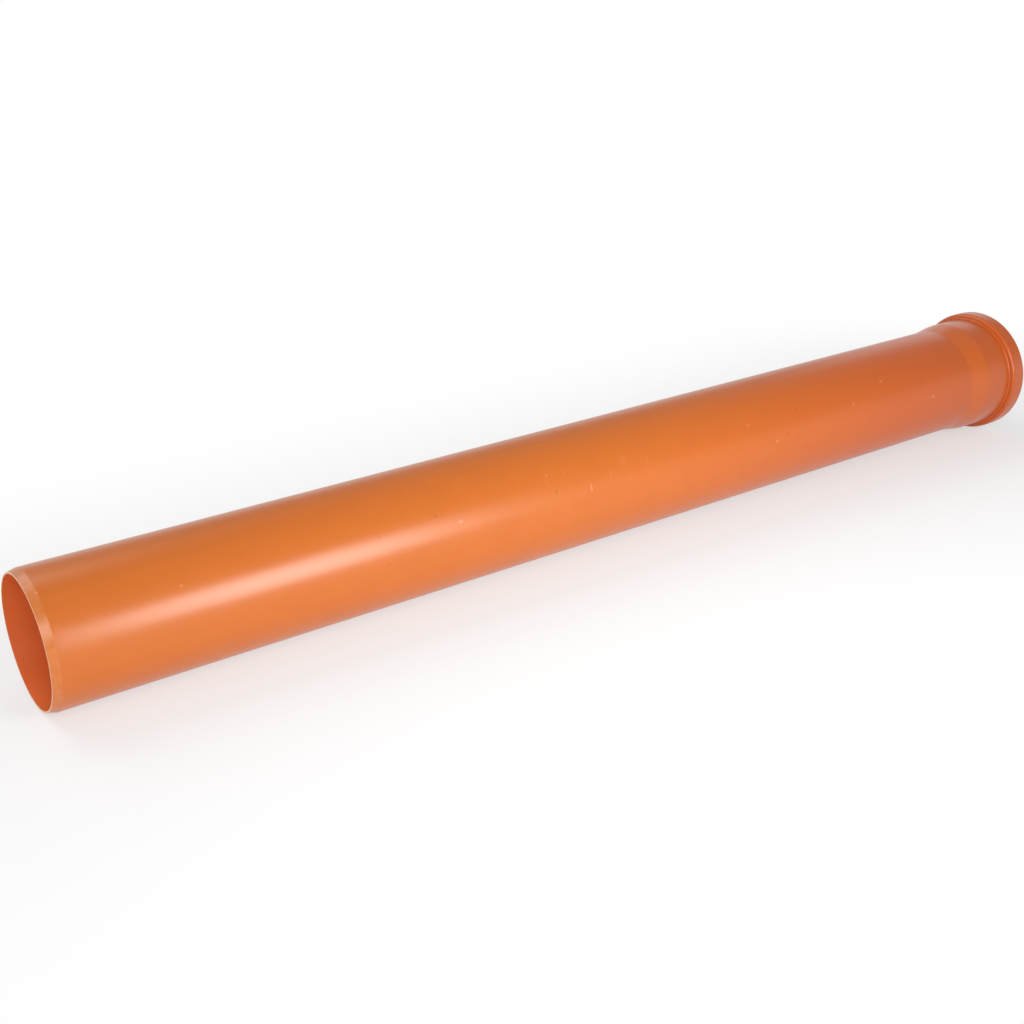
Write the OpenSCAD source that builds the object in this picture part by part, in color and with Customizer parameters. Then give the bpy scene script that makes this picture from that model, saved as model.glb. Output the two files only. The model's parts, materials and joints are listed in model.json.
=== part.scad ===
// PVC sewer pipe with a chamfered spigot and a push-fit socket, lying on a level floor.
// The barrel, the flare, the socket and the bead are one extruded and belled piece.
// A rubber lip seal sits in the groove of the bead.

/* [Barrel] */
// Outside diameter of the barrel
pipe_d = 110; // [90:1:200]
// Wall thickness of the barrel
pipe_wall = 3.2; // [2.4:0.1:6]
// Laying length, from the spigot end to the start of the flare
laying_length = 1000; // [250:50:5000]

/* [Spigot] */
// Length of the chamfer on the spigot end
chamfer_length = 7; // [3:0.5:10]
// Angle of the chamfer to the pipe's axis
chamfer_angle = 15; // [8:1:22]

/* [Socket] */
// Radial room between a spigot and the bore of the socket
spigot_clearance = 0.4; // [0.3:0.05:1]
// Wall thickness of the socket
socket_wall = 3.4; // [2.4:0.1:4.2]
// Length of the flare that widens the barrel to the socket
flare_length = 25; // [15:1:60]
// Length of the straight socket, from the flare to the bead
socket_length = 34; // [20:1:120]
// Radius that softens both ends of the flare
flare_round = 30; // [5:1:60]

/* [Bead] */
// Depth of the seal groove, from the bore of the socket
groove_depth = 5.9; // [5:0.1:9]
// Width of the seal groove along the axis
groove_width = 11; // [9:0.5:18]
// Wall thickness of the bead around the groove
bead_wall = 3.2; // [2.4:0.1:5]
// Rounding of the bead's shoulder
shoulder_round = 3.2; // [0.5:0.1:4]
// Fillet where the shoulder leaves the socket
shoulder_fillet = 1.5; // [0.5:0.1:2]
// Radial room between a spigot and the mouth
mouth_clearance = 1.3; // [0.8:0.1:2.5]
// Rounding of the mouth's edges
mouth_round = 1.5; // [0.3:0.1:1.8]

/* [Lip seal] */
// Room left between the seal and the walls of the groove
seal_room = 0.2; // [0.1:0.05:0.4]
// Room between the lip and a spigot that is pushed home
lip_room = 0.25; // [0.15:0.05:0.3]
// Thickness of the seal's back, which lies in the groove
seal_back = 2.6; // [1.5:0.1:3]
// Thickness of the lip at its tip
lip_tip = 1.3; // [0.8:0.1:1.6]
// Length of the lip along the axis
lip_length = 8.6; // [6:0.1:8.6]

/* [Hidden] */
// Radii
pipe_r = pipe_d / 2;
bore_r = pipe_r - pipe_wall;
spigot_end_r = pipe_r - chamfer_length * tan(chamfer_angle);
socket_r = pipe_r + spigot_clearance;
socket_outer_r = socket_r + socket_wall;
groove_r = socket_r + groove_depth;
bead_r = groove_r + bead_wall;
mouth_r = pipe_r + mouth_clearance;
groove_round = 1;
edge_round = 0.4;

// Stations along the axis, from the spigot end
flare_end = laying_length + flare_length;
shoulder = flare_end + socket_length;
groove_start = shoulder + bead_wall;
groove_end = groove_start + groove_width;
mouth = groove_end + bead_wall;

// Lip seal
seal_outer_r = groove_r - seal_room;
seal_inner_r = seal_outer_r - seal_back;
seal_start = groove_start + seal_room;
seal_end = groove_end - seal_room;
seal_nose_r = (mouth_r + seal_inner_r) / 2;
seal_round = 0.6;
lip_r = pipe_r + lip_room;
lip_start = seal_end - lip_length;
lip_root = seal_end - seal_back - seal_round;

// Lying at rest: the corner of the chamfer and the shoulder of the bead touch the floor
round_run = shoulder + shoulder_round - chamfer_length;
round_rise = bead_r - shoulder_round - pipe_r;
lean = atan2(round_rise, round_run) + asin(shoulder_round / norm([round_run, round_rise]));
spigot_axis_height = pipe_r * cos(lean) - chamfer_length * sin(lean);

// Degrees of turn for each step of a rounded corner
round_step = 7.5;
$fn = 128;

function unit(v) = v / norm(v);

// Arc that rounds the corner b of the path a, b, c
function corner_arc(a, b, c, radius) =
    let (
        to_a = unit(a - b),
        to_c = unit(c - b),
        half = acos(to_a * to_c) / 2,
        centre = b + unit(to_a + to_c) * radius / sin(half),
        first = b + to_a * radius / tan(half) - centre,
        last = b + to_c * radius / tan(half) - centre,
        turn = atan2(first.x * last.y - first.y * last.x, first * last),
        steps = max(2, ceil(abs(turn) / round_step))
    )
    [for (i = [0 : steps])
        let (angle = turn * i / steps)
        centre + [first.x * cos(angle) - first.y * sin(angle), first.x * sin(angle) + first.y * cos(angle)]];

// Closed outline through corners given as [radius from the axis, station, rounding]
function rounded(corners) =
    let (count = len(corners), place = [for (c = corners) [c[0], c[1]]])
    [for (i = [0 : count - 1])
        each corners[i][2] == 0
            ? [place[i]]
            : corner_arc(place[(i + count - 1) % count], place[i], place[(i + 1) % count], corners[i][2])];

// Turns an outline about the pipe's axis and lays the result on the floor, spigot towards -X
module turned_and_laid(corners) {
    translate([-mouth / 2 * cos(lean), 0, spigot_axis_height])
        rotate([0, 90 - lean, 0])
            rotate_extrude()
                polygon(rounded(corners));
}

module pipe() {
    color("#d8692c")
        turned_and_laid([
            [bore_r, 0, 0],
            [spigot_end_r, 0, 0],
            [pipe_r, chamfer_length, 0],
            [pipe_r, laying_length, flare_round],
            [socket_outer_r, flare_end, flare_round],
            [socket_outer_r, shoulder, shoulder_fillet],
            [bead_r, shoulder, shoulder_round],
            [bead_r, mouth, mouth_round],
            [mouth_r, mouth, mouth_round],
            [mouth_r, groove_end, edge_round],
            [groove_r, groove_end, groove_round],
            [groove_r, groove_start, groove_round],
            [socket_r, groove_start, edge_round],
            [socket_r, flare_end, flare_round],
            [bore_r, laying_length, flare_round],
        ]);
}

module lip_seal() {
    color("#262626")
        turned_and_laid([
            [seal_inner_r, seal_start, seal_round],
            [seal_outer_r, seal_start, groove_round],
            [seal_outer_r, seal_end, groove_round],
            [seal_nose_r, seal_end, seal_round],
            [lip_r, lip_start, edge_round],
            [lip_r + lip_tip, lip_start, edge_round],
            [seal_inner_r, lip_root, edge_round],
        ]);
}

pipe();
lip_seal();
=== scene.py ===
"""Sewer pipe with its lip seal, turned as on a lathe and finished, on a plain white studio floor."""

import json
import math

import bpy
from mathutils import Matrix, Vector


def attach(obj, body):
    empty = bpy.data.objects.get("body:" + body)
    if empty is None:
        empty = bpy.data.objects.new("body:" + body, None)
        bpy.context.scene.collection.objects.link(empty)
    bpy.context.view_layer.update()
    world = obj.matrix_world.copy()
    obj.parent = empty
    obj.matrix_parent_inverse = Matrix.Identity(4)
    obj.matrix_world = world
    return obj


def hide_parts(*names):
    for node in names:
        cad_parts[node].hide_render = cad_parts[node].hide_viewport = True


bl_info = {
    "name": "Sewer Pipe",
    "version": (1, 0, 0),
    "blender": (4, 5, 0),
    "location": "View3D > Sidebar > Sewer Pipe",
    "description": "Adds a socketed PVC sewer pipe, its rubber lip seal and a studio around them",
    "category": "Add Mesh",
}

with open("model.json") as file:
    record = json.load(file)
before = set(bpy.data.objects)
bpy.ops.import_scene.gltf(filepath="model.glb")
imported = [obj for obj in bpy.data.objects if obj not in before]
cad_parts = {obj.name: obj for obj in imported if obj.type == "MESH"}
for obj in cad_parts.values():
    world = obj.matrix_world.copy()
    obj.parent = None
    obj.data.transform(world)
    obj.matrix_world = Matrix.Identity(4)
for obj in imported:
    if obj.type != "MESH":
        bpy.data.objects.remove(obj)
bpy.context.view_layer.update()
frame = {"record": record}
MOUNTS = {mount["name"]: mount for mount in frame["record"]["mounts"]}

# The pipe's axis runs from the spigot to the socket and rises a little, because the bead is wider than the barrel.
AXIS = Vector(MOUNTS["socket"]["axis"]).normalized()
SPIGOT_FACE = Vector(MOUNTS["spigot_end"]["pos_m"])
SPIGOT = Vector((SPIGOT_FACE.x, 0.0, SPIGOT_FACE.z))
FRONT = Vector((0.0, -1.0, 0.0))
UP = FRONT.cross(AXIS)

# Turning: angle for each step of a rounded corner, sharpest edge that is shaded smooth, side of the face that the
# profile is drawn from, and the distance at which doubled points merge.
ROUND_STEP = math.radians(7.5)
SHARP_ANGLE = math.radians(12.0)
START_SIZE = 0.001
MERGE_DISTANCE = 5e-6

# Patterns in the plastic and the rubber. The lines are noise stretched along the pipe, or round it for the mould's.
DRAWN_LINES = {"Stretch": (1.6, 110.0, 110.0), "Detail": 1.5}
HAIRLINES = {"Stretch": (5.0, 900.0, 900.0), "Detail": 2.0}
MOULD_LINES = {"Stretch": (1500.0, 40.0, 40.0), "Detail": 2.0}
LINE_ROUGHNESS = 0.6
PALE_SPECKS = {"Scale": 70.0, "Size": 0.06, "Share": 0.03}
DARK_SPECKS = {"Scale": 55.0, "Size": 0.05, "Share": 0.03}
RUBBER_SPECKS = {"Scale": 220.0, "Size": 0.12, "Share": 0.15}
MOTTLE = {"Scale": 30.0, "Detail": 4.0, "Roughness": 0.6}
LATHE_RINGS = {"Scale": 1800.0, "Detail": 2.0}
LATHE_CHATTER = {"Scale": 160.0, "Detail": 3.0}
RUBBER_BLOOM = {"Scale": 90.0, "Detail": 4.0}

# How a pattern covers a colour: the value at which it starts, the value at which it is full, and its share then.
MOTTLE_COVER = (0.35, 0.7, 0.45)
LINES_COVER = (0.3, 0.8, 0.35)
CHATTER_COVER = (0.35, 0.65, 0.7)
BLOOM_COVER = (0.45, 0.75, 0.5)

# Part of the flare's length over which its painted lighter band fades, to either side of each end of the flare.
FLARE_FADE = 0.125

# Swing of the roughness along the hairlines, and what a pale mark adds to it.
HAIRLINE_SWING = 0.06
MARK_DULLNESS = 0.2

# Relief: depth of the bumps, their strength on each material, and the weight of what makes them.
BUMP_DEPTH = 0.00004
PVC_BUMP = 0.5
RUBBER_BUMP = 0.4
HAIRLINE_RELIEF = 0.12
BELL_RELIEF = 0.15
MARK_RELIEF = 2.0

# Marks of handling on the barrel: station, degrees above the front, half length and half width.
PALE_MARKS = (
    (0.1048, 37.0, 0.0018, 0.0018),
    (0.3455, 24.2, 0.0036, 0.0027),
    (0.4405, 42.5, 0.0016, 0.0016),
    (0.4815, 20.6, 0.0014, 0.0060),
    (0.6765, 35.8, 0.0020, 0.0018),
    (0.7078, 12.2, 0.0022, 0.0020),
    (0.8180, 26.8, 0.0022, 0.0018),
    (0.8660, 42.4, 0.0024, 0.0018),
    (0.9369, 10.6, 0.0026, 0.0024),
    (0.0066, 63.2, 0.0016, 0.0022),
)
DARK_MARKS = (
    (0.3068, 66.4, 0.0018, 0.0016),
    (0.3241, 34.3, 0.0018, 0.0018),
    (0.2699, 30.3, 0.0016, 0.0016),
    (0.2737, 5.9, 0.0020, 0.0016),
    (0.4578, 79.6, 0.0022, 0.0016),
    (0.7235, 16.9, 0.0022, 0.0016),
    (0.4444, 25.2, 0.0014, 0.0044),
    (0.7409, 38.4, 0.0030, 0.0016),
)
FAINT_MARKS = (
    (0.4380, 38.0, 0.0026, 0.0080),
    (0.4580, 41.0, 0.0024, 0.0070),
    (0.5050, 27.0, 0.0026, 0.0080),
    (0.5230, 36.0, 0.0040, 0.0110),
    (0.5480, 30.0, 0.0026, 0.0090),
)

WHITE = (1.0, 1.0, 1.0, 1.0)
SOFTBOXES = ("key", "front", "back", "panel")
SENSOR_WIDTH = 36.0
NODE_ROW = 180


def length(name, description, default):
    """A size in metres, shown with its unit."""
    return bpy.props.FloatProperty(
        name=name, description=description, default=default, min=0.0, precision=4, unit="LENGTH"
    )


def angle(name, description, degrees):
    """An angle, given in degrees."""
    return bpy.props.FloatProperty(
        name=name, description=description, default=math.radians(degrees), subtype="ANGLE"
    )


def share(name, description, default, high=1.0):
    """A plain factor."""
    return bpy.props.FloatProperty(
        name=name, description=description, default=default, min=0.0, max=high, subtype="FACTOR"
    )


def colour(name, description, default):
    """A colour in linear light."""
    return bpy.props.FloatVectorProperty(
        name=name, description=description, default=default, size=4, min=0.0, max=1.0, subtype="COLOR"
    )


def point(name, description, default):
    """A point in metres."""
    return bpy.props.FloatVectorProperty(
        name=name, description=description, default=default, size=3, precision=4, subtype="TRANSLATION", unit="LENGTH"
    )


def watts(name, description, default):
    """A lamp's power."""
    return bpy.props.FloatProperty(name=name, description=description, default=default, min=0.0, unit="POWER")


class PipeSizes(bpy.types.PropertyGroup):
    """Sizes of the pipe."""

    outside_diameter: length("Outside diameter", "Across the barrel", 0.110)
    wall: length("Wall", "Wall of the barrel", 0.0032)
    laying_length: length("Laying length", "From the spigot end to the start of the flare", 1.0)
    chamfer_length: length("Chamfer", "Length of the chamfer on the spigot", 0.007)
    chamfer_angle: angle("Chamfer angle", "Between the chamfer and the axis", 15.0)
    chamfer_round: length("Chamfer rounding", "Rounding of the corner where the chamfer meets the barrel", 0.001)
    cut_round: length("Cut edges", "Rounding that is left on the edges of the sawn end", 0.00025)
    spigot_clearance: length("Spigot clearance", "Radial room of a spigot in the socket", 0.0004)
    socket_wall: length("Socket wall", "Wall of the socket", 0.0034)
    flare_length: length("Flare", "Length of the flare", 0.025)
    flare_round: length("Flare rounding", "Radius at both ends of the flare", 0.030)
    socket_length: length("Socket", "Straight socket, from the flare to the bead", 0.034)
    groove_depth: length("Groove depth", "From the bore of the socket to the bottom of the seal groove", 0.0059)
    groove_width: length("Groove width", "Width of the seal groove", 0.011)
    groove_round: length("Groove rounding", "Rounding at the bottom of the seal groove", 0.001)
    edge_round: length("Groove edges", "Rounding of the edges of the seal groove", 0.0004)
    bead_wall: length("Bead wall", "Wall of the bead around the groove", 0.0032)
    bead_trim: length("Bead trim", "Taken off the bead's radius, so that it stays inside the solid's box", 0.00011)
    shoulder_round: length("Shoulder rounding", "Rounding of the bead's shoulder", 0.0032)
    shoulder_fillet: length("Shoulder fillet", "Fillet at the foot of the shoulder", 0.0015)
    mouth_clearance: length("Mouth clearance", "Radial room of a spigot in the mouth", 0.0013)
    mouth_round: length("Mouth rounding", "Rounding of the mouth's edges", 0.0015)
    ring_room: length("Ring room", "Distance of a straight wall's end rings from its corners", 0.005)
    ring_apart: length("Ring spacing", "Distance between the rings of the barrel", 0.05)
    around: bpy.props.IntProperty(name="Steps around", description="Faces round the pipe", default=192, min=32)


class SealSizes(bpy.types.PropertyGroup):
    """Sizes of the lip seal."""

    room: length("Room", "Room left between the seal and its groove", 0.0002)
    lip_room: length("Lip room", "Room between the lip and a spigot", 0.00025)
    back: length("Back", "Thickness of the seal's back", 0.0026)
    lip_tip: length("Lip tip", "Thickness of the lip at its tip", 0.0013)
    lip_length: length("Lip length", "Length of the lip along the axis", 0.0086)
    back_round: length("Back rounding", "Rounding of the free edges of the seal's back", 0.0006)
    lip_round: length("Lip rounding", "Rounding of the lip's tip and root", 0.0004)
    around: bpy.props.IntProperty(name="Steps around", description="Faces round the seal", default=160, min=32)


class Finishes(bpy.types.PropertyGroup):
    """Colours and gloss."""

    pvc: colour("PVC", "Orange-brown of the pipe", (0.582, 0.140, 0.013, 1.0))
    pvc_deep: colour("PVC deep", "Darker parts of the pipe's mottling", (0.545, 0.126, 0.011, 1.0))
    pvc_cut: colour("Turned PVC", "Turned chamfer", (0.62, 0.180, 0.038, 1.0))
    # The sawn face is paler for its rough cut, and partly a painted highlight where it catches the light.
    pvc_sawn_and_lit: colour("Sawn PVC", "Sawn end face", (0.92, 0.52, 0.28, 1.0))
    # Painted light: the bore is painted much brighter than the outer wall, standing in for the light thrown into it.
    pvc_lit_bore: colour("Bore PVC", "Wall of the waterway, which light hasn't faded", (0.86, 0.184, 0.046, 1.0))
    # Painted shade: the colour that the pipe darkens to towards the socket end, where less light falls on it.
    pvc_shaded_far_end: colour("Bell PVC", "Socket end, deepened by the heat of belling", (0.565, 0.102, 0.010, 1.0))
    # Painted light: the flare is painted paler, as its slope catches more light than the barrel and the socket.
    pvc_lit_flare: colour("Flare PVC", "Flare, paler where the wall was stretched", (0.605, 0.118, 0.012, 1.0))
    pvc_scuff: colour("Scuffed PVC", "Pale dots and scratches", (0.80, 0.35, 0.20, 1.0))
    pvc_dirt: colour("Dirt", "Dark specks", (0.34, 0.075, 0.012, 1.0))
    # Painted shade: where along the laying length the painted darkening towards the socket end begins.
    far_shade_from: share("Bell from", "Share of the laying length at which the bell's colour starts to come in", 0.45)
    pale_marks: share("Pale marks", "How far pale marks cover the wall", 0.5)
    dark_marks: share("Dark marks", "How far dark marks cover the wall", 0.6)
    faint_marks: share("Faint marks", "How far faint scuffs cover the wall", 0.08)
    pvc_roughness: share("PVC roughness", "Roughness of the drawn wall", 0.31)
    bell_roughness: share("Bell roughness", "Roughness of the flare, the socket and the bead", 0.29)
    cut_roughness: share("Cut roughness", "Roughness of turned and sawn faces", 0.32)
    pvc_ior: bpy.props.FloatProperty(name="PVC IOR", description="Refraction of the PVC", default=1.54, min=1.0)
    rubber: colour("Rubber", "Black of the seal", (0.012, 0.012, 0.013, 1.0))
    rubber_dust: colour("Rubber dust", "Pale bloom on the seal", (0.060, 0.058, 0.056, 1.0))
    rubber_smooth: share("Rubber smooth", "Roughness of the seal where it is clean", 0.40)
    rubber_rough: share("Rubber rough", "Roughness of the seal under its bloom", 0.60)


class Studio(bpy.types.PropertyGroup):
    """Floor, light and camera."""

    floor: colour("Floor", "Colour of the floor", (0.90, 0.90, 0.90, 1.0))
    floor_roughness: share("Floor roughness", "Roughness of the floor", 0.9)
    floor_width: length("Floor width", "Side of the floor", 60.0)
    floor_lift: share("Floor lift", "Share of plain white in the floor beside the pipe", 0.55)
    white_from: length("White from", "Distance from the pipe at which the floor starts to fade to plain white", 0.06)
    white_to: length("White to", "Distance from the pipe at which the floor is plain white", 0.50)
    sky: share("Sky", "Even light from all round", 0.40, 4.0)
    horizon: angle("Horizon", "Height up to which the backdrop is white", 8.0)
    horizon_end: angle("Horizon end", "Height from which only the sky is seen", 22.0)
    key_power: watts("Key", "Softbox above the camera, towards the spigot", 12.2)
    key_width: length("Key width", "Width of the softbox above the camera", 0.80)
    key_height: length("Key height", "Height of the softbox above the camera", 0.80)
    key_place: point("Key place", "Centre of the softbox above the camera", (-1.14, -1.53, 1.25))
    key_aim: point("Key aim", "Point that the softbox above the camera faces", (-0.20, 0.0, 0.06))
    front_power: watts("Front", "Small softbox in front, which gives the long highlight", 6.2)
    front_width: length("Front width", "Width of the small softbox", 0.42)
    front_height: length("Front height", "Height of the small softbox", 0.42)
    front_place: point("Front place", "Centre of the small softbox", (-0.01, -0.90, 0.342))
    front_aim: point("Front aim", "Point that the small softbox faces", (-0.36, -0.05, 0.08))
    back_power: watts("Back", "Broad softbox above and behind", 38.0)
    back_width: length("Back width", "Width of the broad softbox", 2.4)
    back_height: length("Back height", "Height of the broad softbox", 2.4)
    back_place: point("Back place", "Centre of the broad softbox", (-1.00, 2.00, 2.60))
    back_aim: point("Back aim", "Point that the broad softbox faces", (0.0, 0.0, 0.06))
    panel_power: watts("Panel", "Dim softbox beyond the socket, for the sheen on top of the far end", 0.6)
    panel_width: length("Panel width", "Width of the dim softbox", 0.60)
    panel_height: length("Panel height", "Height of the dim softbox", 0.50)
    panel_place: point("Panel place", "Centre of the dim softbox", (1.67, 0.78, 0.73))
    panel_aim: point("Panel aim", "Point that the dim softbox faces", (0.50, 0.0, 0.12))
    camera_place: point("Camera place", "Where the camera stands", (-0.76472, -0.92674, 0.54432))
    camera_azimuth: angle("Azimuth", "Turn of the camera about the vertical", -35.4215)
    camera_elevation: angle("Elevation", "How far the camera looks down", 23.5223)
    camera_lens: bpy.props.FloatProperty(
        name="Lens", description="Focal length in millimetres", default=48.8661, unit="CAMERA"
    )


def on_wall(station, radius, turn=0.0):
    """A point beside the axis: turn 0 is towards the front, and a quarter turn is up."""
    return SPIGOT + AXIS * station + (FRONT * math.cos(turn) + UP * math.sin(turn)) * radius


def round_corner(before, corner, after, radius):
    """Points of the arc that rounds a corner of a profile."""
    to_before, to_after = (before - corner).normalized(), (after - corner).normalized()
    half = to_before.angle(to_after) / 2
    centre = corner + (to_before + to_after).normalized() * (radius / math.sin(half))
    first = corner + to_before * (radius / math.tan(half)) - centre
    last = corner + to_after * (radius / math.tan(half)) - centre
    turn = math.atan2(first.x * last.y - first.y * last.x, first.dot(last))
    steps = max(2, math.ceil(abs(turn) / ROUND_STEP))
    points = []
    for i in range(steps + 1):
        cosine, sine = math.cos(turn * i / steps), math.sin(turn * i / steps)
        points.append(centre + Vector((first.x * cosine - first.y * sine, first.x * sine + first.y * cosine)))
    return points


def rounded_profile(corners):
    """Closed profile through corners given as (radius from the axis, station, rounding)."""
    spots = [Vector(corner[:2]) for corner in corners]
    points = []
    for i, (spot, corner) in enumerate(zip(spots, corners)):
        if corner[2] > 0.0:
            points += round_corner(spots[i - 1], spot, spots[(i + 1) % len(spots)], corner[2])
        else:
            points.append(spot)
    return points


def turn_on_axis(name, corners, around):
    """Draws a closed profile with extruded points and spins it about the pipe's axis."""
    half_step = math.pi / around
    drawn = [on_wall(station, radius, half_step) for radius, station in rounded_profile(corners)]
    bpy.ops.object.select_all(action="DESELECT")
    bpy.ops.mesh.primitive_plane_add(size=START_SIZE, location=drawn[0])
    bpy.ops.object.transform_apply(location=True, rotation=True, scale=True)
    piece = bpy.context.object
    piece.name = piece.data.name = name
    bpy.ops.object.mode_set(mode="EDIT")
    bpy.ops.mesh.select_mode(type="VERT")
    bpy.ops.mesh.select_all(action="SELECT")
    bpy.ops.mesh.merge(type="CENTER")
    for here, there in zip(drawn, drawn[1:] + drawn[:1]):
        bpy.ops.mesh.extrude_region_move(TRANSFORM_OT_translate={"value": there - here})
    bpy.ops.mesh.select_all(action="SELECT")
    bpy.ops.mesh.remove_doubles(threshold=MERGE_DISTANCE)
    bpy.ops.mesh.spin(steps=around, angle=2 * math.pi, center=SPIGOT, axis=AXIS)
    bpy.ops.mesh.select_all(action="SELECT")
    bpy.ops.mesh.remove_doubles(threshold=MERGE_DISTANCE)
    bpy.ops.mesh.normals_make_consistent(inside=False)
    bpy.ops.object.mode_set(mode="OBJECT")
    bpy.ops.object.shade_smooth_by_angle(angle=SHARP_ANGLE)
    return piece


def pipe_radii(sizes):
    """Radii of the pipe's walls."""
    outer = sizes.outside_diameter / 2
    socket = outer + sizes.spigot_clearance
    groove = socket + sizes.groove_depth
    return {
        "outer": outer,
        "bore": outer - sizes.wall,
        "end": outer - sizes.chamfer_length * math.tan(sizes.chamfer_angle),
        "socket": socket,
        "socket_outer": socket + sizes.socket_wall,
        "groove": groove,
        "bead": groove + sizes.bead_wall - sizes.bead_trim,
        "mouth": outer + sizes.mouth_clearance,
    }


def pipe_stations(sizes):
    """Stations along the axis, from the spigot end."""
    flare_end = sizes.laying_length + sizes.flare_length
    shoulder = flare_end + sizes.socket_length
    groove_start = shoulder + sizes.bead_wall
    groove_end = groove_start + sizes.groove_width
    return {
        "flare_end": flare_end,
        "shoulder": shoulder,
        "groove_start": groove_start,
        "groove_end": groove_end,
        "mouth": groove_end + sizes.bead_wall,
    }


def barrel_rings(sizes, radius):
    """Plain points of the profile along the barrel, which keep its long faces short and its shading even."""
    first = sizes.chamfer_length + sizes.ring_room
    last = sizes.laying_length - sizes.ring_room
    count = max(1, round((last - first) / sizes.ring_apart))
    return [(radius, first + (last - first) * i / count, 0.0) for i in range(count + 1)]


def node(tree, kind, place, inputs=None, **settings):
    """Adds a node, sets it and links or fills its inputs."""
    made = tree.nodes.new(kind)
    made.location = place
    for name, value in settings.items():
        setattr(made, name, value)
    for socket, value in (inputs or {}).items():
        if isinstance(value, bpy.types.NodeSocket):
            tree.links.new(value, made.inputs[socket])
        else:
            made.inputs[socket].default_value = value
    return made


def math_node(tree, place, operation, *values):
    """Math node; each value is a number or a socket."""
    return node(tree, "ShaderNodeMath", place, dict(enumerate(values)), operation=operation).outputs[0]


def vector_node(tree, place, operation, *values):
    """Vector Math node; each value is a vector or a socket."""
    made = node(tree, "ShaderNodeVectorMath", place, dict(enumerate(values)), operation=operation)
    return made.outputs["Value" if operation in ("DOT_PRODUCT", "LENGTH") else "Vector"]


def noise(tree, place, position, settings):
    """Plain noise from 0 to 1."""
    return node(tree, "ShaderNodeTexNoise", place, {"Vector": position, **settings}).outputs["Fac"]


def mix_colour(tree, place, factor, first, second):
    """Mix node for two colours."""
    return node(tree, "ShaderNodeMix", place, {0: factor, 6: first, 7: second}, data_type="RGBA").outputs[2]


def mix_value(tree, place, factor, first, second):
    """Mix node for two numbers."""
    return node(tree, "ShaderNodeMix", place, {0: factor, 2: first, 3: second}, data_type="FLOAT").outputs[0]


def ramp(tree, place, value, low, high, top=1.0):
    """0 below low and top above high, eased."""
    return node(
        tree,
        "ShaderNodeMapRange",
        place,
        {"Value": value, "From Min": low, "From Max": high, "To Min": 0.0, "To Max": top},
        interpolation_type="SMOOTHSTEP",
    ).outputs[0]


def spread(tree, place, value, low, high):
    """A mask from 0 to 1, spread evenly between two numbers."""
    return node(tree, "ShaderNodeMapRange", place, {"Value": value, "To Min": low, "To Max": high}).outputs[0]


def new_group(name, inputs, outputs):
    """An empty shader node group with its sockets, and its two end nodes."""
    group = bpy.data.node_groups.new(name, "ShaderNodeTree")
    for socket, kind, default in inputs:
        made = group.interface.new_socket(socket, in_out="INPUT", socket_type=kind)
        if default is not None:
            made.default_value = default
    for socket, kind in outputs:
        group.interface.new_socket(socket, in_out="OUTPUT", socket_type=kind)
    return group, node(group, "NodeGroupInput", (-800, 0)).outputs, node(group, "NodeGroupOutput", (600, 0)).inputs


def build_pipe_place(name):
    """Where a point lies on the pipe: its station along the axis and its distance from it."""
    group, start, end = new_group(
        name,
        [("Position", "NodeSocketVector", None)],
        [("Station", "NodeSocketFloat"), ("Radius", "NodeSocketFloat")],
    )
    arm = vector_node(group, (-500, 0), "SUBTRACT", start["Position"], SPIGOT)
    across = vector_node(group, (-200, -150), "CROSS_PRODUCT", arm, AXIS)
    group.links.new(vector_node(group, (-200, 150), "DOT_PRODUCT", arm, AXIS), end["Station"])
    group.links.new(vector_node(group, (100, -150), "LENGTH", across), end["Radius"])
    return group


def build_streaks(name):
    """Drawn-out noise: lines left by extrusion or by the mould."""
    group, start, end = new_group(
        name,
        [
            ("Position", "NodeSocketVector", None),
            ("Stretch", "NodeSocketVector", None),
            ("Detail", "NodeSocketFloat", 3.0),
        ],
        [("Value", "NodeSocketFloat")],
    )
    drawn = vector_node(group, (-500, 0), "MULTIPLY", start["Position"], start["Stretch"])
    lines = noise(group, (-200, 0), drawn, {"Scale": 1.0, "Detail": start["Detail"], "Roughness": LINE_ROUGHNESS})
    group.links.new(lines, end["Value"])
    return group


def build_specks(name):
    """Small round specks in a share of the cells of a loose grid."""
    group, start, end = new_group(
        name,
        [
            ("Position", "NodeSocketVector", None),
            ("Scale", "NodeSocketFloat", 60.0),
            ("Size", "NodeSocketFloat", 0.03),
            ("Share", "NodeSocketFloat", 0.1),
        ],
        [("Mask", "NodeSocketFloat")],
    )
    cells = node(
        group, "ShaderNodeTexVoronoi", (-500, 0), {"Vector": start["Position"], "Scale": start["Scale"]}
    ).outputs
    parts = node(group, "ShaderNodeSeparateColor", (-250, -200), {0: cells["Color"]}).outputs
    chosen = math_node(group, (0, -200), "LESS_THAN", parts["Red"], start["Share"])
    reach = math_node(group, (-250, -400), "MULTIPLY", parts["Green"], start["Size"])
    dot = node(
        group,
        "ShaderNodeMapRange",
        (0, 100),
        {"Value": cells["Distance"], "From Min": 0.0, "From Max": reach, "To Min": 1.0, "To Max": 0.0},
    ).outputs[0]
    group.links.new(math_node(group, (300, 0), "MULTIPLY", dot, chosen), end["Mask"])
    return group


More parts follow.
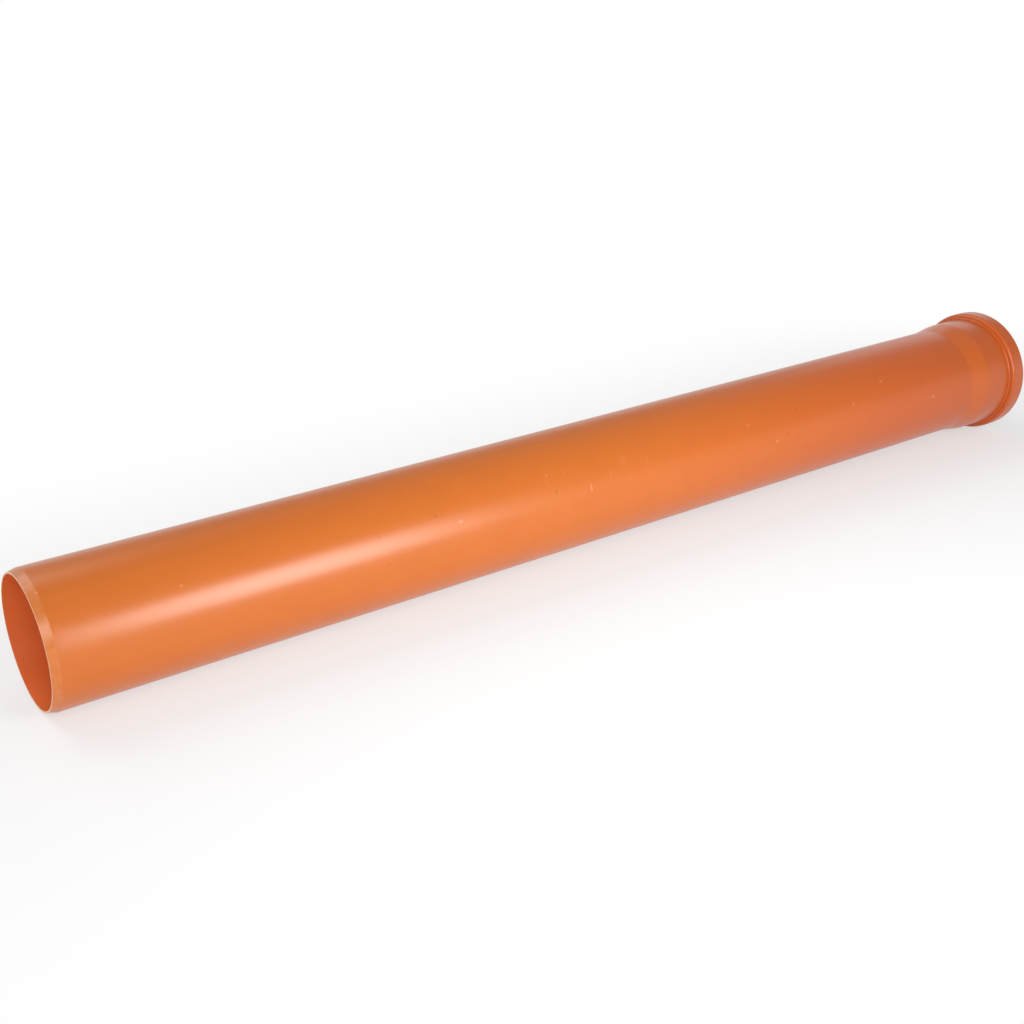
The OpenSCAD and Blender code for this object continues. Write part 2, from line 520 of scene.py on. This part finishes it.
def build_mark(name):
    """One small mark: its mask fades from the centre to the reach on each axis."""
    group, start, end = new_group(
        name,
        [
            ("Position", "NodeSocketVector", None),
            ("Centre", "NodeSocketVector", None),
            ("Reach", "NodeSocketVector", None),
        ],
        [("Mask", "NodeSocketFloat")],
    )
    arm = vector_node(group, (-500, 0), "SUBTRACT", start["Position"], start["Centre"])
    scaled = vector_node(group, (-250, 0), "DIVIDE", arm, start["Reach"])
    mask = node(
        group,
        "ShaderNodeMapRange",
        (250, 0),
        {
            "Value": vector_node(group, (0, 0), "LENGTH", scaled),
            "From Min": 0.0,
            "From Max": 1.0,
            "To Min": 1.0,
            "To Max": 0.0,
        },
        interpolation_type="SMOOTHSTEP",
    ).outputs[0]
    group.links.new(mask, end["Mask"])
    return group


def use_group(tree, name, build, place, position, settings):
    """Places a node group in a material, building it on first use."""
    group = bpy.data.node_groups.get(name) or build(name)
    return node(tree, "ShaderNodeGroup", place, {"Position": position, **settings}, node_tree=group).outputs


def streaks(tree, place, position, settings):
    """Lines along or round the pipe."""
    return use_group(tree, "Streaks", build_streaks, place, position, settings)["Value"]


def specks(tree, place, position, settings):
    """Scattered specks."""
    return use_group(tree, "Specks", build_specks, place, position, settings)["Mask"]


def strongest(tree, place, masks):
    """The strongest of several masks."""
    most = masks[0]
    for step, mask in enumerate(masks[1:]):
        most = math_node(tree, (place[0], place[1] - NODE_ROW * step), "MAXIMUM", most, mask)
    return most


def marks(tree, left, position, rows, radius, strength):
    """A list of marks on the barrel, with a limit to how far they cover the wall."""
    masks = []
    for row, (station, degrees, half_length, half_width) in enumerate(rows):
        settings = {
            "Centre": on_wall(station, radius, math.radians(degrees)),
            "Reach": (half_length, half_width, half_width),
        }
        place = (left, -900 - NODE_ROW * row)
        masks.append(use_group(tree, "Mark", build_mark, place, position, settings)["Mask"])
    return math_node(tree, (left + 500, -900), "MULTIPLY", strongest(tree, (left + 250, -900), masks), strength)


def new_material(name):
    """A material with only a Principled BSDF and its output, and its Object coordinates."""
    material = bpy.data.materials.new(name)
    material.use_nodes = True
    tree = material.node_tree
    tree.nodes.clear()
    shader = node(tree, "ShaderNodeBsdfPrincipled", (600, 0))
    node(tree, "ShaderNodeOutputMaterial", (900, 0), {"Surface": shader.outputs[0]})
    position = node(tree, "ShaderNodeTexCoord", (-1800, 0)).outputs["Object"]
    return material, tree, shader, position


def pvc_material(finish, sizes):
    """Drawn PVC: faintly mottled and lined along the pipe, with turned ends and marks of handling."""
    material, tree, shader, position = new_material("orange_brown_pvc")
    outer, laid = sizes.outside_diameter / 2, sizes.laying_length
    bore_edge = outer - sizes.wall + sizes.cut_round / 2
    where = use_group(tree, "Pipe place", build_pipe_place, (-1500, 600), position, {})
    station, radius = where["Station"], where["Radius"]

    # What the colour, the gloss and the relief share: lines, marks, and where the wall is cut or belled.
    lines = streaks(tree, (-1500, 300), position, DRAWN_LINES)
    hairlines = streaks(tree, (-1500, 100), position, HAIRLINES)
    pale = strongest(
        tree,
        (-300, -700),
        [
            marks(tree, -1500, position, PALE_MARKS, outer, finish.pale_marks),
            specks(tree, (-1500, -400), position, PALE_SPECKS),
            marks(tree, -3600, position, FAINT_MARKS, outer, finish.faint_marks),
        ],
    )
    dark = strongest(
        tree,
        (-300, -1100),
        [
            marks(tree, -2600, position, DARK_MARKS, outer, finish.dark_marks),
            specks(tree, (-1500, -650), position, DARK_SPECKS),
        ],
    )
    near_end = math_node(tree, (-1000, 700), "LESS_THAN", station, sizes.chamfer_length)
    beyond_bore = math_node(tree, (-1000, 550), "GREATER_THAN", radius, bore_edge)
    cut = math_node(tree, (-800, 650), "MULTIPLY", near_end, beyond_bore)
    belled = ramp(tree, (-650, -250), station, laid - sizes.flare_length, laid)

    # Colour: the barrel's wall, painted shade towards the socket end, painted light on the flare and the bore, the
    # cut faces with a partly painted highlight on the sawn face, then the marks.
    mottled = ramp(tree, (-1350, -150), noise(tree, (-1500, -150), position, MOTTLE), *MOTTLE_COVER)
    wall = mix_colour(tree, (-900, 0), mottled, finish.pvc, finish.pvc_deep)
    lined = mix_colour(tree, (-650, 0), ramp(tree, (-1100, 150), lines, *LINES_COVER), wall, finish.pvc_deep)
    # Painted shade: darker from the middle of the barrel to the socket end.
    far_shade = ramp(tree, (-800, 950), station, finish.far_shade_from * laid, laid)
    deepened = mix_colour(tree, (-550, 100), far_shade, lined, finish.pvc_shaded_far_end)
    flare_end, soft = pipe_stations(sizes)["flare_end"], sizes.flare_length * FLARE_FADE
    # Painted light: a paler band painted on the flare, where its slope catches more light.
    flare_starts = ramp(tree, (-800, 1100), station, laid - soft, laid + soft)
    flare_ends = ramp(tree, (-800, 1250), station, flare_end - soft, flare_end + soft)
    lit = math_node(tree, (-600, 1150), "SUBTRACT", flare_starts, flare_ends)
    flared = mix_colour(tree, (-500, 300), lit, deepened, finish.pvc_lit_flare)
    # Painted light: the bore is painted brighter than the outer wall.
    inside = math_node(tree, (-1000, 900), "LESS_THAN", radius, bore_edge)
    drawn = mix_colour(tree, (-450, 100), inside, flared, finish.pvc_lit_bore)
    chatter = ramp(tree, (-900, 350), noise(tree, (-1000, 200), position, LATHE_CHATTER), *CHATTER_COVER)
    turned = mix_colour(tree, (-650, 250), chatter, finish.pvc_cut, finish.pvc)
    # The sawn face is paler for its rough cut, and partly a painted highlight where it catches the light.
    sawn = math_node(tree, (-800, 800), "LESS_THAN", station, sizes.cut_round / 2)
    faced = mix_colour(tree, (-500, 250), sawn, turned, finish.pvc_sawn_and_lit)
    plain = mix_colour(tree, (-400, 0), cut, drawn, faced)
    scuffed = mix_colour(tree, (-150, 0), pale, plain, finish.pvc_scuff)
    tree.links.new(mix_colour(tree, (100, 0), dark, scuffed, finish.pvc_dirt), shader.inputs["Base Color"])

    # Gloss: a little uneven along the hairlines, and duller on the marks.
    even = mix_value(tree, (-400, -250), belled, finish.pvc_roughness, finish.bell_roughness)
    uneven = math_node(tree, (-200, -250), "MULTIPLY_ADD", hairlines, HAIRLINE_SWING, -HAIRLINE_SWING / 2)
    gloss = math_node(tree, (0, -250), "ADD", even, uneven)
    rough = mix_value(tree, (200, -250), cut, gloss, finish.cut_roughness)
    duller = math_node(tree, (200, -400), "MULTIPLY", pale, MARK_DULLNESS)
    tree.links.new(math_node(tree, (400, -250), "ADD", rough, duller), shader.inputs["Roughness"])

    # Relief: drawn lines, calmer on the socket end, rings of the lathe on the cut faces, and the marks.
    fine = math_node(tree, (-450, -500), "MULTIPLY", hairlines, HAIRLINE_RELIEF)
    ridges = math_node(tree, (-300, -500), "ADD", lines, fine)
    calm = spread(tree, (-300, -650), belled, 1.0, BELL_RELIEF)
    calmed = math_node(tree, (-150, -500), "MULTIPLY", ridges, calm)
    lathe = node(tree, "ShaderNodeCombineXYZ", (-1200, 400), {0: station, 1: radius}).outputs[0]
    rings = noise(tree, (-1000, 400), lathe, LATHE_RINGS)
    relief = mix_value(tree, (0, -500), cut, calmed, rings)
    raised = math_node(tree, (0, -700), "MULTIPLY", pale, MARK_RELIEF)
    height = math_node(tree, (200, -550), "ADD", relief, raised)
    bump = node(tree, "ShaderNodeBump", (400, -500), {"Strength": PVC_BUMP, "Distance": BUMP_DEPTH, "Height": height})
    tree.links.new(bump.outputs[0], shader.inputs["Normal"])
    shader.inputs["IOR"].default_value = finish.pvc_ior
    return material


def rubber_material(finish):
    """Moulded rubber with a faint bloom."""
    material, tree, shader, position = new_material("black_rubber")
    bloom = noise(tree, (-1200, 0), position, RUBBER_BLOOM)
    dust = specks(tree, (-1200, -300), position, RUBBER_SPECKS)
    lines = streaks(tree, (-1200, -600), position, MOULD_LINES)
    faded = ramp(tree, (-1000, 100), bloom, *BLOOM_COVER)
    hazy = mix_colour(tree, (-500, 0), faded, finish.rubber, finish.rubber_dust)
    dusty = mix_colour(tree, (-200, 0), dust, hazy, finish.rubber_dust)
    tree.links.new(dusty, shader.inputs["Base Color"])
    gloss = spread(tree, (-200, -250), bloom, finish.rubber_smooth, finish.rubber_rough)
    tree.links.new(gloss, shader.inputs["Roughness"])
    bump = node(
        tree, "ShaderNodeBump", (200, -500), {"Strength": RUBBER_BUMP, "Distance": BUMP_DEPTH, "Height": lines}
    )
    tree.links.new(bump.outputs[0], shader.inputs["Normal"])
    return material


class MESH_OT_sewer_pipe_add(bpy.types.Operator):
    """Turn the pipe's profile about its axis and give it its PVC finish"""

    bl_idname = "mesh.sewer_pipe_add"
    bl_label = "Add Sewer Pipe"

    def execute(self, context):
        sizes, finish = context.scene.sewer_pipe, context.scene.sewer_finish
        radius, station = pipe_radii(sizes), pipe_stations(sizes)
        pipe = turn_on_axis(
            "sewer_pipe",
            [
                (radius["bore"], 0.0, sizes.cut_round),
                (radius["end"], 0.0, sizes.cut_round),
                (radius["outer"], sizes.chamfer_length, sizes.chamfer_round),
                *barrel_rings(sizes, radius["outer"]),
                (radius["outer"], sizes.laying_length, sizes.flare_round),
                (radius["socket_outer"], station["flare_end"], sizes.flare_round),
                (radius["socket_outer"], station["flare_end"] + sizes.ring_room, 0.0),
                (radius["socket_outer"], station["shoulder"] - sizes.ring_room, 0.0),
                (radius["socket_outer"], station["shoulder"], sizes.shoulder_fillet),
                (radius["bead"], station["shoulder"], sizes.shoulder_round),
                (radius["bead"], station["shoulder"] + sizes.ring_room, 0.0),
                (radius["bead"], station["mouth"] - sizes.ring_room, 0.0),
                (radius["bead"], station["mouth"], sizes.mouth_round),
                (radius["mouth"], station["mouth"], sizes.mouth_round),
                (radius["mouth"], station["groove_end"], sizes.edge_round),
                (radius["groove"], station["groove_end"], sizes.groove_round),
                (radius["groove"], station["groove_start"], sizes.groove_round),
                (radius["socket"], station["groove_start"], sizes.edge_round),
                (radius["socket"], station["flare_end"], sizes.flare_round),
                (radius["bore"], sizes.laying_length, sizes.flare_round),
                *reversed(barrel_rings(sizes, radius["bore"])),
            ],
            sizes.around,
        )
        pipe.data.materials.append(pvc_material(finish, sizes))
        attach(pipe, "root")
        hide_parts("pipe")
        return {"FINISHED"}


class MESH_OT_lip_seal_add(bpy.types.Operator):
    """Turn the lip seal's section about the pipe's axis and give it its rubber finish"""

    bl_idname = "mesh.lip_seal_add"
    bl_label = "Add Lip Seal"

    def execute(self, context):
        sizes, seal, finish = context.scene.sewer_pipe, context.scene.sewer_seal, context.scene.sewer_finish
        radius, station = pipe_radii(sizes), pipe_stations(sizes)
        outer = radius["groove"] - seal.room
        inner = outer - seal.back
        start, end = station["groove_start"] + seal.room, station["groove_end"] - seal.room
        lip, lip_start = radius["outer"] + seal.lip_room, end - seal.lip_length
        ring = turn_on_axis(
            "lip_seal_ring",
            [
                (inner, start, seal.back_round),
                (outer, start, sizes.groove_round),
                (outer, end, sizes.groove_round),
                ((radius["mouth"] + inner) / 2, end, seal.back_round),
                (lip, lip_start, seal.lip_round),
                (lip + seal.lip_tip, lip_start, seal.lip_round),
                (inner, end - seal.back - seal.back_round, seal.lip_round),
            ],
            seal.around,
        )
        ring.data.materials.append(rubber_material(finish))
        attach(ring, "root")
        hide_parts("lip_seal")
        return {"FINISHED"}


def seen_rays(tree, place):
    """1 for rays from the camera, also by way of a mirror or a clear body, and 0 for light."""
    rays = node(tree, "ShaderNodeLightPath", place).outputs
    kinds = [rays["Is Glossy Ray"], rays["Is Transmission Ray"], rays["Is Camera Ray"]]
    return strongest(tree, (place[0] + 200, place[1]), kinds)


def floor_material(studio):
    """White floor that takes the shadow near the pipe and fades to plain white further out."""
    material, tree, shader, position = new_material("studio_floor")
    shader.inputs["Base Color"].default_value = studio.floor
    shader.inputs["Roughness"].default_value = studio.floor_roughness
    shader.inputs["Specular IOR Level"].default_value = 0.0
    apart = node(tree, "ShaderNodeSeparateXYZ", (-1600, 300), {0: position}).outputs
    along = math_node(tree, (-1500, 400), "ABSOLUTE", apart["X"])
    beyond = math_node(tree, (-1400, 400), "SUBTRACT", along, -SPIGOT.x)
    past_end = math_node(tree, (-1300, 400), "MAXIMUM", beyond, 0.0)
    beside = node(tree, "ShaderNodeCombineXYZ", (-1250, 300), {0: past_end, 1: apart["Y"]}).outputs[0]
    distance = vector_node(tree, (-1200, 200), "LENGTH", beside)
    fade = ramp(tree, (-1100, 200), distance, studio.white_from, studio.white_to)
    lift = spread(tree, (-900, 200), fade, studio.floor_lift, 1.0)
    factor = math_node(tree, (-700, 0), "MULTIPLY", lift, seen_rays(tree, (-1300, -200)))
    white = node(tree, "ShaderNodeEmission", (300, -300), {"Color": WHITE, "Strength": 1.0})
    mixed = node(tree, "ShaderNodeMixShader", (750, 200), {0: factor, 1: shader.outputs[0], 2: white.outputs[0]})
    tree.links.new(mixed.outputs[0], tree.get_output_node("ALL").inputs["Surface"])
    return material


def studio_world(studio):
    """Even light from all round, with a white backdrop where it is looked at or mirrored."""
    world = bpy.data.worlds.new("studio_light")
    world.use_nodes = True
    tree = world.node_tree
    tree.nodes.clear()
    sky = node(tree, "ShaderNodeBackground", (0, 200), {"Color": WHITE, "Strength": studio.sky})
    white = node(tree, "ShaderNodeBackground", (0, 0), {"Color": WHITE, "Strength": 1.0})
    towards = node(tree, "ShaderNodeTexCoord", (-1100, 300)).outputs["Generated"]
    height = node(tree, "ShaderNodeSeparateXYZ", (-900, 300), {0: towards}).outputs["Z"]
    above = ramp(tree, (-700, 300), height, math.sin(studio.horizon), math.sin(studio.horizon_end))
    low = math_node(tree, (-500, 300), "SUBTRACT", 1.0, above)
    factor = math_node(tree, (-300, 300), "MULTIPLY", low, seen_rays(tree, (-900, 0)))
    mixed = node(tree, "ShaderNodeMixShader", (250, 100), {0: factor, 1: sky.outputs[0], 2: white.outputs[0]})
    node(tree, "ShaderNodeOutputWorld", (450, 100), {"Surface": mixed.outputs[0]})
    return world


def add_softbox(studio, name):
    """A rectangular lamp that faces a point and that the camera doesn't see."""
    place, aim, width, height, power = (
        getattr(studio, f"{name}_{part}") for part in ("place", "aim", "width", "height", "power")
    )
    facing = (Vector(aim) - Vector(place)).to_track_quat("-Z", "Y").to_euler()
    bpy.ops.object.light_add(type="AREA", location=place, rotation=facing)
    softbox = bpy.context.object
    softbox.name = softbox.data.name = f"{name}_softbox"
    softbox.data.shape = "RECTANGLE"
    softbox.data.size = width
    softbox.data.size_y = height
    softbox.data.energy = power
    softbox.visible_camera = False


class SCENE_OT_sewer_studio_add(bpy.types.Operator):
    """Add the floor, the light and the camera"""

    bl_idname = "scene.sewer_studio_add"
    bl_label = "Add Studio"

    def execute(self, context):
        scene, studio = context.scene, context.scene.sewer_studio
        bpy.ops.object.select_all(action="DESELECT")
        bpy.ops.mesh.primitive_plane_add(size=studio.floor_width, location=(0.0, 0.0, 0.0))
        floor = context.object
        floor.name = "studio_floor"
        floor.data.materials.append(floor_material(studio))
        scene.world = studio_world(studio)
        for name in SOFTBOXES:
            add_softbox(studio, name)
        bpy.ops.object.camera_add(
            location=studio.camera_place,
            rotation=(math.pi / 2 - studio.camera_elevation, 0.0, studio.camera_azimuth),
        )
        camera = context.object
        camera.data.sensor_width = SENSOR_WIDTH
        camera.data.lens = studio.camera_lens
        scene.camera = camera
        scene.view_settings.view_transform = "Standard"
        return {"FINISHED"}


class VIEW3D_PT_sewer_pipe(bpy.types.Panel):
    """Sizes, finishes and buttons"""

    bl_idname = "VIEW3D_PT_sewer_pipe"
    bl_label = "Sewer Pipe"
    bl_space_type = "VIEW_3D"
    bl_region_type = "UI"
    bl_category = "Sewer Pipe"

    def draw(self, context):
        scene = context.scene
        for group, operator in (
            (scene.sewer_pipe, MESH_OT_sewer_pipe_add),
            (scene.sewer_seal, MESH_OT_lip_seal_add),
            (scene.sewer_finish, None),
            (scene.sewer_studio, SCENE_OT_sewer_studio_add),
        ):
            box = self.layout.box()
            for name in group.bl_rna.properties.keys():
                if name not in ("rna_type", "name"):
                    box.prop(group, name)
            if operator:
                box.operator(operator.bl_idname)


CLASSES = (
    PipeSizes,
    SealSizes,
    Finishes,
    Studio,
    MESH_OT_sewer_pipe_add,
    MESH_OT_lip_seal_add,
    SCENE_OT_sewer_studio_add,
    VIEW3D_PT_sewer_pipe,
)


def register():
    for cls in CLASSES:
        bpy.utils.register_class(cls)
    bpy.types.Scene.sewer_pipe = bpy.props.PointerProperty(type=PipeSizes)
    bpy.types.Scene.sewer_seal = bpy.props.PointerProperty(type=SealSizes)
    bpy.types.Scene.sewer_finish = bpy.props.PointerProperty(type=Finishes)
    bpy.types.Scene.sewer_studio = bpy.props.PointerProperty(type=Studio)


def unregister():
    for name in ("sewer_studio", "sewer_finish", "sewer_seal", "sewer_pipe"):
        delattr(bpy.types.Scene, name)
    for cls in reversed(CLASSES):
        bpy.utils.unregister_class(cls)


def main():
    register()
    bpy.ops.mesh.sewer_pipe_add()
    bpy.ops.mesh.lip_seal_add()
    bpy.ops.scene.sewer_studio_add()


if __name__ == "__main__":
    main()
